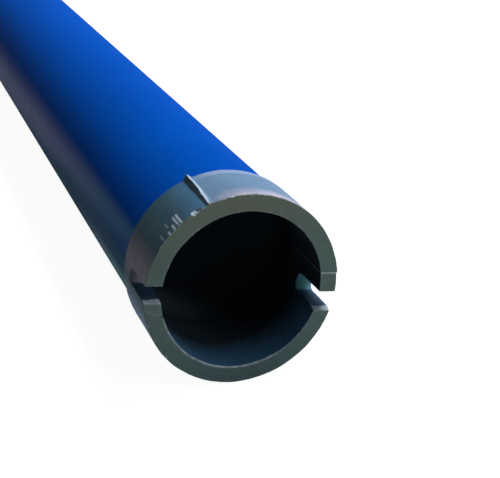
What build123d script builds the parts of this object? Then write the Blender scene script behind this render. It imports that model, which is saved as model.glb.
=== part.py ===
from build123d import *

import os
from math import cos, radians, sin

os.makedirs("parts", exist_ok=True)

# Wet diamond core bit, 42 mm, with a 1-1/4 inch spindle thread.
# It lies on its side on the plane Z = 0, with its axis along Y: the cutting face looks to -Y
# and the spindle coupling to +Y. The origin is under the middle of its length.
#
# Profiles of turned pieces are drawn as (distance behind the cutting face, radius).
# The crown is drawn as it is seen from in front: x to the right, y up.

# ---- Crown -------------------------------------------------------------------------------
drill_diameter = 42.0      # the hole that the crown cuts
crown_wall = 3.8           # thickness of the cutting ring
crown_length = 16.0        # diamond section and its plain backing ring together
crown_turn = -8.0          # degrees by which the crown is turned on the tube, seen from in front
half_mismatch = 0.1        # the upper half was brazed on this much proud of the lower
crown_edge = 0.25          # break of the edges round the cutting face

slot_depth = 11.4          # water slots, from the cutting face to their round ends
left_slot_width = 3.5
left_slot_height = -0.4    # middle of the slot, above the crown's centre line
right_slot_width = 3.9
right_slot_height = -2.4
lip_reach = 1.5            # wear of the floors' front edges: along the slot
lip_drop = 0.4             # and down the cutting face

right_joint_height = 3.8   # joint of the two halves, above the crown's centre line
left_joint_outer = (-20.4, -4.05)
left_joint_inner = (-17.1, -5.2)

flash_front_crest = 117.2  # degrees round the crown: ridge of flash left by the press mould
flash_rear_crest = 115.7
flash_left_foot = 119.3
flash_right_foot = 114.1
flash_front_height = 0.25
flash_rear_height = 0.95
flash_start = 0.3          # where the ridge begins, behind the cutting face
flash_overhang = 0.8       # how far it stands out behind the crown, over the tube

chip_angle = 126.0         # a small piece broken out of the front edge
chip_radius = 1.3
chip_bite = 0.55

# ---- Silver braze ------------------------------------------------------------------------
braze_film = 0.15          # between the crown and the end of the tube
joint_film = 0.3           # between the two halves of the crown
outer_fillet = (1.1, 0.75)  # along the tube, up the back of the crown
inner_fillet = (0.8, 0.5)
fillet_hollow = 0.35       # a hollow fillet's middle lies this share of both its legs out

# ---- Tube --------------------------------------------------------------------------------
tube_diameter = 40.0
tube_wall = 2.0
tube_end = 450.0           # from the cutting face to the back end of the tube

# ---- Spindle coupling --------------------------------------------------------------------
spigot_length = 12.0
spigot_clearance = 0.05
spigot_lead = 1.0          # chamfer that guides the spigot into the tube
collar_diameter = 41.0
collar_length = 6.0
hex_across_flats = 41.0
hex_length = 32.0
hex_corner_diameter = 46.0
hex_chamfer = 3.0
thread_minor_diameter = 28.0   # 1-1/4 inch, 7 threads to the inch
thread_mouth_diameter = 33.0
thread_relief_diameter = 32.6
thread_relief_length = 3.0
socket_depth = 36.0
water_bore_diameter = 20.0

# ---- Weld bead, in the groove between the bevelled tube and collar ------------------------
weld_bevel = 1.2
weld_top_diameter = 41.4
weld_shoulder_diameter = 41.15  # of the bead's rounded sides, a quarter of its width in

# ---- Derived sizes -----------------------------------------------------------------------
lower_radius = drill_diameter / 2
upper_radius = lower_radius + half_mismatch
bore_radius = lower_radius - crown_wall
tube_radius = tube_diameter / 2
tube_bore_radius = tube_radius - tube_wall
tube_start = crown_length + braze_film
collar_radius = collar_diameter / 2
groove_root = (tube_end, tube_radius - weld_bevel)
tube_toe = (tube_end - weld_bevel, tube_radius)
collar_toe = (tube_end + collar_radius - groove_root[1], collar_radius)
hex_start = tube_end + collar_length
coupling_start = tube_end - spigot_length
coupling_end = hex_start + hex_length
clear = drill_diameter     # a length that reaches past the crown in any direction

# ---- Planes ------------------------------------------------------------------------------
face_centre = (0, -coupling_end / 2, lower_radius)
axial = Plane(origin=face_centre, x_dir=(0, 1, 0), z_dir=(1, 0, 0))
bit_axis = Axis(face_centre, (0, 1, 0))
crown_right = (cos(radians(crown_turn)), 0, sin(radians(crown_turn)))
crown_face = Plane(origin=face_centre, x_dir=crown_right, z_dir=(0, -1, 0))
crown_side = Plane(origin=face_centre, x_dir=(0, 1, 0), z_dir=crown_right)


def polar(radius, angle):
    """A point of the crown's face, from its radius and its angle in degrees."""
    return radius * cos(radians(angle)), radius * sin(radians(angle))


def worn_slot(height, width):
    """A water slot with a round end, its middle at a height, and its floor worn down in front."""
    with BuildSketch(mode=Mode.PRIVATE) as outline:
        with Locations((0, height)):
            SlotOverall(2 * slot_depth, width)
        with BuildLine():
            floor = height - width / 2
            Polyline((0, floor - lip_drop), (lip_reach, floor), (0, floor), close=True)
        make_face()
    return outline.sketch


def joint_line(offset):
    """The line that divides the crown in two halves, from right to left, moved up by offset."""
    outer_x, outer_y = left_joint_outer
    inner_x, inner_y = left_joint_inner
    slope = (inner_y - outer_y) / (inner_x - outer_x)
    left_end = outer_y - slope * (clear + outer_x)
    left_start = inner_y + slope * (-bore_radius / 2 - inner_x)
    return [
        (clear, right_joint_height + offset),
        (bore_radius / 2, right_joint_height + offset),
        (-bore_radius / 2, left_start + offset),
        (-clear, left_end + offset),
    ]


# ==== Upper half of the crown: left water slot, ridge of flash =============================
with BuildPart() as crown_half_upper:
    with BuildSketch(crown_face):
        Circle(upper_radius)
        Circle(bore_radius, mode=Mode.SUBTRACT)
        with BuildLine():
            Polyline(*joint_line(joint_film / 2), (-clear, clear), (clear, clear), close=True)
        make_face(mode=Mode.INTERSECT)
    extrude(amount=-crown_length)

    front = crown_half_upper.faces().sort_by(Axis.Y)[0]
    chamfer(front.edges().filter_by(GeomType.CIRCLE), length=crown_edge)

    for depth, crest, height in (
        (flash_start, flash_front_crest, flash_front_height),
        (crown_length + flash_overhang, flash_rear_crest, flash_rear_height),
    ):
        with BuildSketch(crown_face.offset(-depth)):
            with BuildLine():
                Polyline(
                    polar(upper_radius - crown_edge, flash_left_foot),
                    polar(upper_radius + height, crest),
                    polar(upper_radius - crown_edge, flash_right_foot),
                    close=True,
                )
            make_face()
    loft()

    with BuildSketch(crown_side.offset(-clear)):
        add(worn_slot(left_slot_height, left_slot_width))
    extrude(amount=clear - bore_radius / 2, mode=Mode.SUBTRACT)

    chip_x, chip_y = polar(upper_radius + chip_radius - chip_bite, chip_angle)
    with Locations(crown_face.from_local_coords((chip_x, chip_y, 0))):
        Sphere(chip_radius, mode=Mode.SUBTRACT)

# ==== Lower half of the crown: right water slot ============================================
with BuildPart() as crown_half_lower:
    with BuildSketch(crown_face):
        Circle(lower_radius)
        Circle(bore_radius, mode=Mode.SUBTRACT)
        with BuildLine():
            Polyline(*joint_line(-joint_film / 2), (-clear, -clear), (clear, -clear), close=True)
        make_face(mode=Mode.INTERSECT)
    extrude(amount=-crown_length)

    front = crown_half_lower.faces().sort_by(Axis.Y)[0]
    chamfer(front.edges().filter_by(GeomType.CIRCLE), length=crown_edge)

    with BuildSketch(crown_side.offset(bore_radius / 2)):
        add(worn_slot(right_slot_height, right_slot_width))
    extrude(amount=clear, mode=Mode.SUBTRACT)

# ==== Silver braze: the two joints and the ring between crown and tube =====================
with BuildPart() as silver_braze:
    with BuildSketch(crown_face):
        Circle(lower_radius - crown_edge / 2)
        Circle(bore_radius + crown_edge / 2, mode=Mode.SUBTRACT)
        with BuildLine():
            Polyline(*joint_line(joint_film / 2), *reversed(joint_line(-joint_film / 2)), close=True)
        make_face(mode=Mode.INTERSECT)
    extrude(amount=-crown_length)

    with BuildSketch(axial):
        with BuildLine():
            outer_leg, outer_rise = outer_fillet
            inner_leg, inner_rise = inner_fillet
            Polyline(
                (crown_length, tube_radius + outer_rise),
                (tube_start + fillet_hollow * outer_leg, tube_radius + fillet_hollow * outer_rise),
                (tube_start + outer_leg, tube_radius),
                (tube_start, tube_radius),
                (tube_start, tube_bore_radius),
                (tube_start + inner_leg, tube_bore_radius),
                (tube_start + fillet_hollow * inner_leg, tube_bore_radius - fillet_hollow * inner_rise),
                (crown_length, tube_bore_radius - inner_rise),
                close=True,
            )
        make_face()
    revolve(axis=bit_axis)

# ==== Tube =================================================================================
with BuildPart() as core_tube:
    with BuildSketch(axial):
        with BuildLine():
            Polyline(
                (tube_start, tube_bore_radius),
                (tube_start, tube_radius),
                tube_toe,
                groove_root,
                (tube_end, tube_bore_radius),
                close=True,
            )
        make_face()
    revolve(axis=bit_axis)

# ==== Spindle coupling: spigot, collar and threaded hexagon, turned from one bar ============
with BuildPart() as spindle_coupling:
    hex_centre = axial.from_local_coords((hex_start, 0, 0))
    with BuildSketch(Plane(origin=hex_centre, x_dir=(1, 0, 0), z_dir=(0, 1, 0))):
        RegularPolygon(hex_across_flats / 2, 6, major_radius=False)
    extrude(amount=hex_length)

    # The corners of the hexagon are turned down to a cone at each end.
    corner_radius = hex_corner_diameter / 2
    with BuildSketch(axial):
        with BuildLine():
            Polyline(
                (hex_start, 0),
                (hex_start, collar_radius),
                (hex_start + corner_radius - collar_radius, corner_radius),
                (coupling_end - hex_chamfer / 2, corner_radius),
                (coupling_end, corner_radius - hex_chamfer),
                (coupling_end, 0),
                close=True,
            )
        make_face()
    revolve(axis=bit_axis, mode=Mode.INTERSECT)

    spigot_radius = tube_bore_radius - spigot_clearance
    with BuildSketch(axial):
        with BuildLine():
            Polyline(
                (coupling_start, 0),
                (coupling_start, spigot_radius - spigot_lead),
                (coupling_start + spigot_lead, spigot_radius),
                (tube_end, spigot_radius),
                groove_root,
                collar_toe,
                (hex_start, collar_radius),
                (hex_start, 0),
                close=True,
            )
        make_face()
    revolve(axis=bit_axis)

    # Socket for the spindle, with a relief behind the thread, and the water bore.
    minor_radius = thread_minor_diameter / 2
    mouth_radius = thread_mouth_diameter / 2
    relief_radius = thread_relief_diameter / 2
    water_bore_radius = water_bore_diameter / 2
    relief_end = coupling_end - socket_depth
    relief_start = relief_end + thread_relief_length
    with BuildSketch(axial):
        with BuildLine():
            Polyline(
                (coupling_end, 0),
                (coupling_end, mouth_radius),
                (coupling_end - (mouth_radius - minor_radius), minor_radius),
                (relief_start, minor_radius),
                (relief_start, relief_radius),
                (relief_end, relief_radius),
                (relief_end, water_bore_radius),
                (coupling_start, water_bore_radius),
                (coupling_start, 0),
                close=True,
            )
        make_face()
    revolve(axis=bit_axis, mode=Mode.SUBTRACT)

# ==== Weld bead round the back of the tube =================================================
with BuildPart() as coupling_weld:
    bead_width = collar_toe[0] - tube_toe[0]
    with BuildSketch(axial):
        with BuildLine():
            Polyline(
                tube_toe,
                groove_root,
                collar_toe,
                (collar_toe[0] - bead_width / 4, weld_shoulder_diameter / 2),
                (collar_toe[0] - bead_width / 2, weld_top_diameter / 2),
                (tube_toe[0] + bead_width / 4, weld_shoulder_diameter / 2),
                close=True,
            )
        make_face()
    revolve(axis=bit_axis)

# ==== Written files ========================================================================
crown_half_upper.part.label = "crown_half_upper"
crown_half_lower.part.label = "crown_half_lower"
silver_braze.part.label = "silver_braze"
core_tube.part.label = "core_tube"
spindle_coupling.part.label = "spindle_coupling"
coupling_weld.part.label = "coupling_weld"

export_step(crown_half_upper.part, "parts/crown_half_upper.step")
export_step(crown_half_lower.part, "parts/crown_half_lower.step")
export_step(silver_braze.part, "parts/silver_braze.step")
export_step(core_tube.part, "parts/core_tube.step")
export_step(spindle_coupling.part, "parts/spindle_coupling.step")
export_step(coupling_weld.part, "parts/coupling_weld.step")
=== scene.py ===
from math import cos, pi, radians, sin
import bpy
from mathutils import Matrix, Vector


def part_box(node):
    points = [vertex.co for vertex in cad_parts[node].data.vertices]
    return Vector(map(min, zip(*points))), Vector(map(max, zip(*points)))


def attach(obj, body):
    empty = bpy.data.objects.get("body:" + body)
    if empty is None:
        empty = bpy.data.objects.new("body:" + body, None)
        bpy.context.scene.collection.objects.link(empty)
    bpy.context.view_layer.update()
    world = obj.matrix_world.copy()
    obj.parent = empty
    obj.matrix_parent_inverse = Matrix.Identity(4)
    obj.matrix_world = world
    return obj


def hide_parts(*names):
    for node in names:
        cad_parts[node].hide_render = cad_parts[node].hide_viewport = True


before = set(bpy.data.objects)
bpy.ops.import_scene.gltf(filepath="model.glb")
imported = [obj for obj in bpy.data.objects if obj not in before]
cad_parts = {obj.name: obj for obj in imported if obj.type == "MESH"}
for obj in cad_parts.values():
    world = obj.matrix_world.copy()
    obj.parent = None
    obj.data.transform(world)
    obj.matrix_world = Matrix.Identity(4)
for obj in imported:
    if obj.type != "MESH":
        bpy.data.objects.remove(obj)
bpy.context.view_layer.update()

from types import SimpleNamespace

import bpy
import numpy as np
from bpy.props import FloatProperty, FloatVectorProperty, IntProperty, PointerProperty
from bpy.types import Operator, Panel, PropertyGroup

bl_info = {
    "name": "Diamond Core Bit",
    "version": (1, 0, 0),
    "blender": (4, 5, 0),
    "location": "View3D > Sidebar > Core Bit",
    "description": "Builds the crown, braze, painted tube, weld and spindle coupling of a wet core bit",
    "category": "Object",
}

MM = 0.001
FULL_TURN = 2 * pi
WHITE = (1, 1, 1)

# Places that the frame gives: the bit lies along Y with its cutting face towards -Y.
tube_low, tube_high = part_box("core_tube")
crown_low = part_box("crown_half_lower")[0]
coupling_low, coupling_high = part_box("spindle_coupling")
AXIS_Z = (tube_low.z + tube_high.z) / 2
FACE_Y = crown_low.y
TUBE_RADIUS = (tube_high.z - tube_low.z) / 2
TUBE_START = tube_low.y - FACE_Y
TUBE_END = tube_high.y - FACE_Y
CROWN_RADIUS = AXIS_Z - crown_low.z
COUPLING_START = coupling_low.y - FACE_Y
COUPLING_END = coupling_high.y - FACE_Y
HEX_CORNER_RADIUS = (coupling_high.x - coupling_low.x) / 2


# ---- Settings ----


def setting(kind, **options):
    """A kind of setting, which takes a name, a description and a default."""

    def described(name, description, default):
        return kind(name=name, description=description, default=default, **options)

    return described


length = setting(FloatProperty, unit="LENGTH", precision=5)
point = setting(FloatVectorProperty, size=2, unit="LENGTH", precision=5)
angle = setting(FloatProperty, subtype="ANGLE")
share = setting(FloatProperty, subtype="FACTOR", min=0, max=1)
colour = setting(FloatVectorProperty, size=3, subtype="COLOR", min=0, max=1)
place = setting(FloatVectorProperty, size=3, subtype="TRANSLATION", unit="LENGTH")
bearing = setting(FloatVectorProperty, size=3, subtype="DIRECTION")
whole = setting(IntProperty)
number = setting(FloatProperty)


class CrownSettings(PropertyGroup):
    turn: angle("Turn", "Turn of the crown on the tube, seen from in front", radians(-8))
    wall: length("Wall", "Thickness of the cutting ring", 3.8 * MM)
    depth: length("Length", "Diamond section and backing ring together", 16 * MM)
    mismatch: length("Mismatch", "How far the upper half stands proud of the lower", 0.1 * MM)
    edge: length("Edge", "Rounding of the edges round the cutting face", 0.2 * MM)
    slot_depth: length("Slot depth", "Water slots, to their round ends", 11.4 * MM)
    left_slot_width: length("Left slot width", "Width of the upper half's slot", 3.5 * MM)
    left_slot_height: length("Left slot height", "Slot's middle above the centre", -0.4 * MM)
    right_slot_width: length("Right slot width", "Width of the lower half's slot", 3.9 * MM)
    right_slot_height: length("Right slot height", "Slot's middle above the centre", -2.4 * MM)
    joint_film: length("Joint film", "Braze between the two halves", 0.3 * MM)
    right_joint_height: length("Right joint height", "Joint above the centre", 3.8 * MM)
    left_joint_outer: point("Left joint, outside", "Joint at the rim", (-20.4 * MM, -4.05 * MM))
    left_joint_inner: point("Left joint, inside", "Joint at the bore", (-17.1 * MM, -5.2 * MM))
    flash_front_crest: angle("Flash crest, front", "Ridge left by the press mould", radians(117.2))
    flash_rear_crest: angle("Flash crest, back", "Where the ridge's crest ends", radians(115.7))
    flash_left_foot: angle("Flash left foot", "Where the ridge's long flank starts", radians(119.3))
    flash_right_foot: angle("Flash right foot", "Where its steep flank starts", radians(114.1))
    flash_front: length("Flash at the front", "Height of the ridge at the front", 0.3 * MM)
    flash_rear: length("Flash at the back", "Height of the ridge at the back", 1.0 * MM)
    flash_overhang: length("Flash overhang", "How far the ridge stands out behind", 0.8 * MM)
    lip_drop: length("Lip wear, down", "Wear of a slot floor's front edge, down the face", 0.4 * MM)
    lip_reach: length("Lip wear, back", "Wear of a slot floor's front edge, along the slot", 1.5 * MM)
    roughness: length("Pressed surface", "Height of the pressed surface's waves", 0.035 * MM)
    side_colour: colour("Side colour", "Pressed sides of the crown", (0.175, 0.305, 0.49))
    # Painted half shade on the sides turned away from the light.
    smoky_colour: colour("Smoky side", "Where the soot is thin", (0.08, 0.21, 0.37))
    # Painted shade on the left side, turned away from the light.
    sooty_colour: colour("Sooty side", "Where the braze torch left soot", (0.055, 0.125, 0.17))
    # Painted violet reflection on the left side, also painted light on the left slot's round end.
    tinted_colour: colour("Tinted side", "Where the torch left a brown tint", (0.36, 0.335, 0.44))
    # Painted highlight behind the front edge of the upper side, which faces the light.
    front_rim: colour("Front rim", "Cleaner metal behind the front edge", (0.72, 0.66, 0.78))
    # Painted highlight before the back edge of the upper side, where the rounded edge catches the
    # light.
    rear_rim: colour("Rear rim", "Cleaner metal before the back edge", (0.42, 0.54, 0.86))
    face_colour: colour("Face colour", "Ground cutting face", (0.2, 0.31, 0.285))
    # Olive cast, lightened as painted light on the face's top.
    upper_face: colour("Upper face", "Where the face has an olive cast", (0.27, 0.325, 0.275))
    # Painted shade low on the face.
    lower_face: colour("Lower face", "Where the face is darkest", (0.155, 0.255, 0.265))
    # Painted shade on the flash's long flank, which faces away from the light.
    grime_colour: colour("Grime", "Dirt on the flash's long flank", (0.035, 0.045, 0.06))
    # Painted shade in the water slots.
    slot_colour: colour("Slot colour", "Walls of the water slots", (0.038, 0.085, 0.155))
    # Painted light on the right slot's round end.
    slot_end_colour: colour("Slot end", "Round end of the right slot", (0.15, 0.39, 0.46))
    # Painted shade in the crown's bore.
    bore_colour: colour("Bore colour", "Bore of the crown", (0.02, 0.032, 0.045))
    # Painted light in the bore just behind the lower part of the cutting face.
    lip_colour: colour("Lip colour", "Bore just behind the cutting face", (0.07, 0.2, 0.36))
    # Bared metal on chips and punch marks, and painted highlights on the flash's crest, the slots' lips
    # and the bore's lower edge.
    bright_colour: colour("Bright metal", "Bared metal on edges and chips", (0.72, 0.86, 1.0))


class BrazeSettings(PropertyGroup):
    outer_leg: length("Outer leg", "Reach of the outer fillet along the tube", 1.1 * MM)
    outer_rise: length("Outer rise", "Height of the outer fillet on the crown", 0.75 * MM)
    inner_leg: length("Inner leg", "Reach of the inner fillet along the tube", 0.8 * MM)
    inner_rise: length("Inner rise", "Height of the inner fillet on the crown", 0.5 * MM)
    wander: length("Wander", "How unevenly the fillets' toes run", 0.3 * MM)
    metal_colour: colour("Braze", "Silver braze", (0.42, 0.48, 0.52))
    # Dark braze where the darkening mask is 1: the left joint gets all of it, the right joint 0.7 and
    # the ring behind the crown 0.3.
    tarnish_colour: colour("Tarnish", "Silver braze under dirt", (0.07, 0.095, 0.115))
    ground_colour: colour("Ground braze", "Braze in the cutting face", (0.27, 0.35, 0.37))


class TubeSettings(PropertyGroup):
    wall: length("Wall", "Wall of the tube", 2 * MM)
    bevel: length("Bevel", "Weld bevel at the back end", 1.2 * MM)
    waviness: length("Waviness", "How far the drawn tube departs from round", 0.012 * MM)
    columns: whole("Columns", "Facets round the tube", 288)
    enamel: colour("Enamel", "Blue enamel", (0.0, 0.098, 0.60))
    # Painted reflection along the left side of the tube.
    dust: colour("Dust", "Streak of dust along the left side", (0.5, 0.58, 1.0))
    # Painted reflection where it starts by the crown.
    dust_near: colour("Dust by the crown", "The streak where it starts", (0.45, 0.9, 1.0))
    # How strong the painted reflection is.
    dust_amount: share("Dust amount", "How thick the streak is", 0.9)
    # Painted teal reflection under the pale streak.
    film: colour("Film", "Grey film under the streak", (0.10, 0.25, 0.40))
    # Painted shade in the tube's mouth near the crown.
    bore_grime: colour("Bore near the crown", "Dirty steel in the tube's mouth", (0.025, 0.042, 0.058))
    bore_steel: colour("Bore", "Bare steel inside the tube", (0.48, 0.62, 0.72))


class WeldSettings(PropertyGroup):
    top_radius: length("Top radius", "Radius at the top of the bead", 20.65 * MM)
    ripple: length("Ripple", "Height of the bead's ripples", 0.1 * MM)
    ripples: whole("Ripples", "Ripples round the bead", 44)


class CouplingSettings(PropertyGroup):
    collar_radius: length("Collar radius", "Radius of the collar", 20.5 * MM)
    collar_length: length("Collar length", "Length of the collar", 6 * MM)
    across_flats: length("Across flats", "Hexagon across its flats", 41 * MM)
    rear_chamfer: length("Rear chamfer", "Chamfer on the hexagon's corners", 3 * MM)
    thread_minor: length("Minor radius", "Radius of the thread's crests", 14 * MM)
    thread_depth: length("Thread depth", "Depth of the thread", 1.95 * MM)
    thread_pitch: length("Pitch", "1-1/4 inch, 7 threads to the inch", 25.4 / 7 * MM)
    mouth_radius: length("Mouth radius", "Radius of the chamfered mouth", 16.5 * MM)
    socket_depth: length("Socket depth", "From the seat to the shoulder", 36 * MM)
    relief_radius: length("Relief radius", "Radius behind the thread", 16.3 * MM)
    relief_length: length("Relief length", "Length behind the thread", 3 * MM)
    water_bore: length("Water bore", "Radius of the water bore", 10 * MM)
    steel: colour("Steel", "Turned steel", (0.29, 0.30, 0.31))


class StageSettings(PropertyGroup):
    camera_place: place("Camera", "Where the camera stands", (-0.0680, -0.43585, 0.1168))
    camera_pitch: angle("Camera pitch", "From straight down to level", radians(67.53))
    camera_heading: angle("Camera heading", "Turn about the vertical", radians(-19.91))
    lens: number("Lens", "Focal length in mm", 78.94)
    key_bearing: bearing("Key light", "Direction from the bit", (0.50, 0.15, 0.86))
    key_distance: length("Key distance", "From the crown to the key light", 1.5)
    key_size: length("Key size", "Side of the square key light", 0.8)
    key_power: number("Key power", "Watts", 20)
    fill_bearing: bearing("Fill light", "Direction from the bit", (0.5, -0.72, 0.5))
    fill_distance: length("Fill distance", "From the crown to the fill light", 1.3)
    fill_size: length("Fill size", "Side of the square fill light", 0.6)
    fill_power: number("Fill power", "Watts", 2.9)
    sky: share("Sky", "Brightness of the soft light all round", 0.035)
    floor_width: length("Floor width", "Side of the square floor", 6.0)
    floor: share("Floor", "How much light the floor sends back", 0.3)
    floor_lift: share("Floor lift", "How much whiter the floor shows than it is lit", 0.95)


class CoreBitSettings(PropertyGroup):
    crown: PointerProperty(type=CrownSettings)
    braze: PointerProperty(type=BrazeSettings)
    tube: PointerProperty(type=TubeSettings)
    weld: PointerProperty(type=WeldSettings)
    coupling: PointerProperty(type=CouplingSettings)
    stage: PointerProperty(type=StageSettings)


# ---- Points, grids and meshes ----


def eased(t):
    """A smooth step: 3 t^2 - 2 t^3, with t held between 0 and 1."""
    t = np.clip(t, 0, 1)
    return t * t * (3 - 2 * t)


def arc(turn, start, full, fading, end):
    """1 between the angles full and fading, in degrees, eased to 0 at the start and the end."""
    rising = eased((turn - radians(start)) / radians(full - start))
    return rising * eased((radians(end) - turn) / radians(end - fading))


def spread(stops, steps):
    """Rising values from the first stop to the last, evenly spaced between neighbouring stops
    and about one of the steps apart there."""
    gaps = zip(stops, stops[1:], steps)
    runs = [np.linspace(a, b, max(1, round((b - a) / step)), endpoint=False) for a, b, step in gaps]
    return np.append(np.concatenate(runs), stops[-1])


def between(a, b, t):
    """From a, where t is 0, to b, where it is 1: a (1 - t) + b t."""
    return a * (1 - t) + b * t


def bow(t, start, corner, end):
    """A curve that a corner pulls at: (1 - t)^2 start + 2 t (1 - t) corner + t^2 end."""
    return (1 - t) ** 2 * start + 2 * t * (1 - t) * corner + t**2 * end


def turned_about(x, y, angle_by):
    """The x and y of points turned about the axis: x cos - y sin and x sin + y cos."""
    c, s = cos(angle_by), sin(angle_by)
    return x * c - y * s, x * s + y * c


def on_bit(x, y, depth):
    """Row-frame points from x and y seen from in front, about the axis, and the depth behind
    the cutting face."""
    return np.stack([x, FACE_Y + depth, AXIS_Z + y], axis=-1)


# Large odd factors that scramble the numbers of the noise's corners, in 31 bits.
CORNER_FACTORS = np.array([73856093, 19349663, 83492791])
SEED_FACTOR = 2971215073
SCRAMBLES = ((13, 1274126177), (15, 2246822519))
LARGEST_KEY = 0x7FFFFFFF


def value_noise(points, cell, seed):
    """Smooth noise between -1 and 1: a cubic grid carries a scrambled value at each corner, and
    a point mixes the values of its eight corners by the eased distance to each."""
    scaled = points / cell
    base = np.floor(scaled).astype(np.int64)
    near = eased(scaled - base)
    total = np.zeros(points.shape[:-1])
    for corner in np.ndindex(2, 2, 2):
        key = (base + corner) @ CORNER_FACTORS + seed * SEED_FACTOR
        for shift, factor in SCRAMBLES:
            key = (key ^ (key >> shift)) * factor & LARGEST_KEY
        weight = np.prod(np.where(corner, near, 1 - near), axis=-1)
        total += weight * (key / (LARGEST_KEY // 2) - 1)
    return total


def ring_noise(turn, waves, seed):
    """Uneven run round a ring, between about -1 and 1: a sum of sines that close on themselves,
    each with a whole number of waves, a phase from the seed and a falling height."""
    total = np.zeros_like(turn, dtype=float)
    for order, count in enumerate(waves):
        total = total + np.sin(count * turn + seed * 1.7 + order * 2.3) / (order + 1)
    return total / sum(1 / (order + 1) for order in range(len(waves)))


def grid_faces(rows, columns, close_rows=False, close_columns=False, turned=False):
    """Quads between neighbouring points of a grid, numbered row by row, as four corner numbers
    each. A closed direction also joins its last line of points to its first."""
    row = np.arange(rows if close_rows else rows - 1)[:, None]
    column = np.arange(columns if close_columns else columns - 1)[None, :]
    near_row, far_row = row * columns, (row + 1) % rows * columns
    next_column = (column + 1) % columns
    corners = [near_row + column, far_row + column, far_row + next_column, near_row + next_column]
    faces = np.stack(corners, axis=-1).reshape(-1, 4)
    return faces[:, ::-1] if turned else faces


def joined(skins):
    """Several lots of points and quads as one, with each lot's numbers counted on."""
    points, faces = zip(*skins)
    starts = np.cumsum([0, *map(len, points)])
    return np.concatenate(points), np.concatenate([f + start for f, start in zip(faces, starts)])


def sewn(sheets, tolerance=1e-8):
    """Points and quads of several grids as one skin: points that are the same to within the
    tolerance become one. A sheet is (points, turned), and turned sheets face the other way."""
    points, faces = joined(
        [(grid.reshape(-1, 3), grid_faces(*grid.shape[:2], turned=turned)) for grid, turned in sheets]
    )
    keys = np.round(points / tolerance).astype(np.int64)
    first, number_of = np.unique(keys, axis=0, return_index=True, return_inverse=True)[1:]
    return points[first], number_of.reshape(-1)[faces]


def six_sides(block, u, v, w):
    """A solid block of points P(u, v, w) as one skin: each side keeps one of the three at its
    limit and is a grid of the other two."""
    return sewn(
        [
            (block(u, v, w[-1:])[:, :, 0], False),
            (block(u, v, w[:1])[:, :, 0], True),
            (block(u, v[:1], w)[:, 0], False),
            (block(u, v[-1:], w)[:, 0], True),
            (block(u[:1], v, w)[0], True),
            (block(u[-1:], v, w)[0], False),
        ]
    )


def facing_out(points, faces):
    """The quads of a closed skin, turned where needed so that they face outwards: the sum of
    a . (b x c) over their triangles is above zero when they do."""
    a, b, c, d = (points[faces[:, i]] for i in range(4))
    volume = np.sum(a * np.cross(b, c)) + np.sum(a * np.cross(c, d))
    return faces[:, ::-1] if volume < 0 else faces


def new_object(name, data):
    """An object at the origin, in the scene."""
    made = bpy.data.objects.new(name, data)
    bpy.context.scene.collection.objects.link(made)
    return made


def skin_object(name, node, points, faces, material, masks=None):
    """A smooth closed mesh object in the row frame, which rides on the bit and stands for a
    node of the frame. Masks are values on its points."""
    faces = facing_out(points, faces)
    mesh = bpy.data.meshes.new(name)
    mesh.vertices.add(len(points))
    mesh.vertices.foreach_set("co", np.ascontiguousarray(points, np.float32).ravel())
    mesh.loops.add(faces.size)
    mesh.loops.foreach_set("vertex_index", np.ascontiguousarray(faces, np.int32).ravel())
    mesh.polygons.add(len(faces))
    mesh.polygons.foreach_set("loop_start", np.arange(0, faces.size, 4, dtype=np.int32))
    mesh.polygons.foreach_set("use_smooth", np.ones(len(faces), bool))
    for label, values in (masks or {}).items():
        layer = mesh.attributes.new(label, "FLOAT", "POINT")
        layer.data.foreach_set("value", np.ascontiguousarray(values, np.float32))
    mesh.update()
    mesh.validate()
    mesh.materials.append(material)
    piece = new_object(name, mesh)
    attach(piece, "root")
    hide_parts(node)
    return piece


def turned_skin(depth, radius, turn):
    """Points and quads of a closed profile carried round the axis: x = radius cos(turn) and
    z = axis height + radius sin(turn), at the depth. Depth and radius are grids (angles,
    profile points) or single profiles, and both directions of the grid close."""
    depth, radius, turn = np.broadcast_arrays(depth, radius, turn[:, None])
    points = on_bit(radius * np.cos(turn), radius * np.sin(turn), depth)
    return points.reshape(-1, 3), grid_faces(*turn.shape, True, True)


def soft_corners(corners, rounding, step):
    """A closed profile with rounded corners: each corner is replaced by a bow of six points
    between points a and b a little way along both sides, and each side in between is divided
    in steps. A corner is (depth, radius)."""
    corners = np.asarray(corners, float)

    def beside(neighbour):
        """The points a little way from each corner towards its neighbour."""
        side = np.roll(corners, neighbour, axis=0) - corners
        size = np.linalg.norm(side, axis=1)
        return corners + side / size[:, None] * np.minimum(rounding, size / 3)[:, None]

    a, b = beside(1), beside(-1)
    t = np.linspace(0, 1, 6)[:, None]
    profile = []
    for i, corner in enumerate(corners):
        profile.append(bow(t, a[i], corner, b[i]))
        gap = a[(i + 1) % len(corners)] - b[i]
        steps = max(1, int(np.ceil(np.hypot(*gap) / step)))
        tight = min(0.25, rounding / max(np.hypot(*gap), 1e-9))
        profile.append(b[i] + gap * np.linspace(tight, 1 - tight, steps + 1)[:, None])
    return np.concatenate(profile).T


# ---- Shader groups ----


def set_inputs(tree, node, inputs):
    """Gives a node's inputs another node's socket or a plain value each."""
    for socket, value in inputs.items():
        if isinstance(value, bpy.types.NodeSocket):
            tree.links.new(value, node.inputs[socket])
        else:
            node.inputs[socket].default_value = value


def add_node(tree, kind, inputs=None, **options):
    """A node with its options and its inputs set."""
    node = tree.nodes.new(kind)
    for option, value in options.items():
        setattr(node, option, value)
    set_inputs(tree, node, inputs or {})
    return node


def maths(tree, operation, *values):
    """The result of a Math node on sockets or plain values."""
    return add_node(tree, "ShaderNodeMath", dict(enumerate(values)), operation=operation).outputs[0]


def times(tree, first, *more):
    """The product of sockets or plain values."""
    for value in more:
        first = maths(tree, "MULTIPLY", first, value)
    return first


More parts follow.
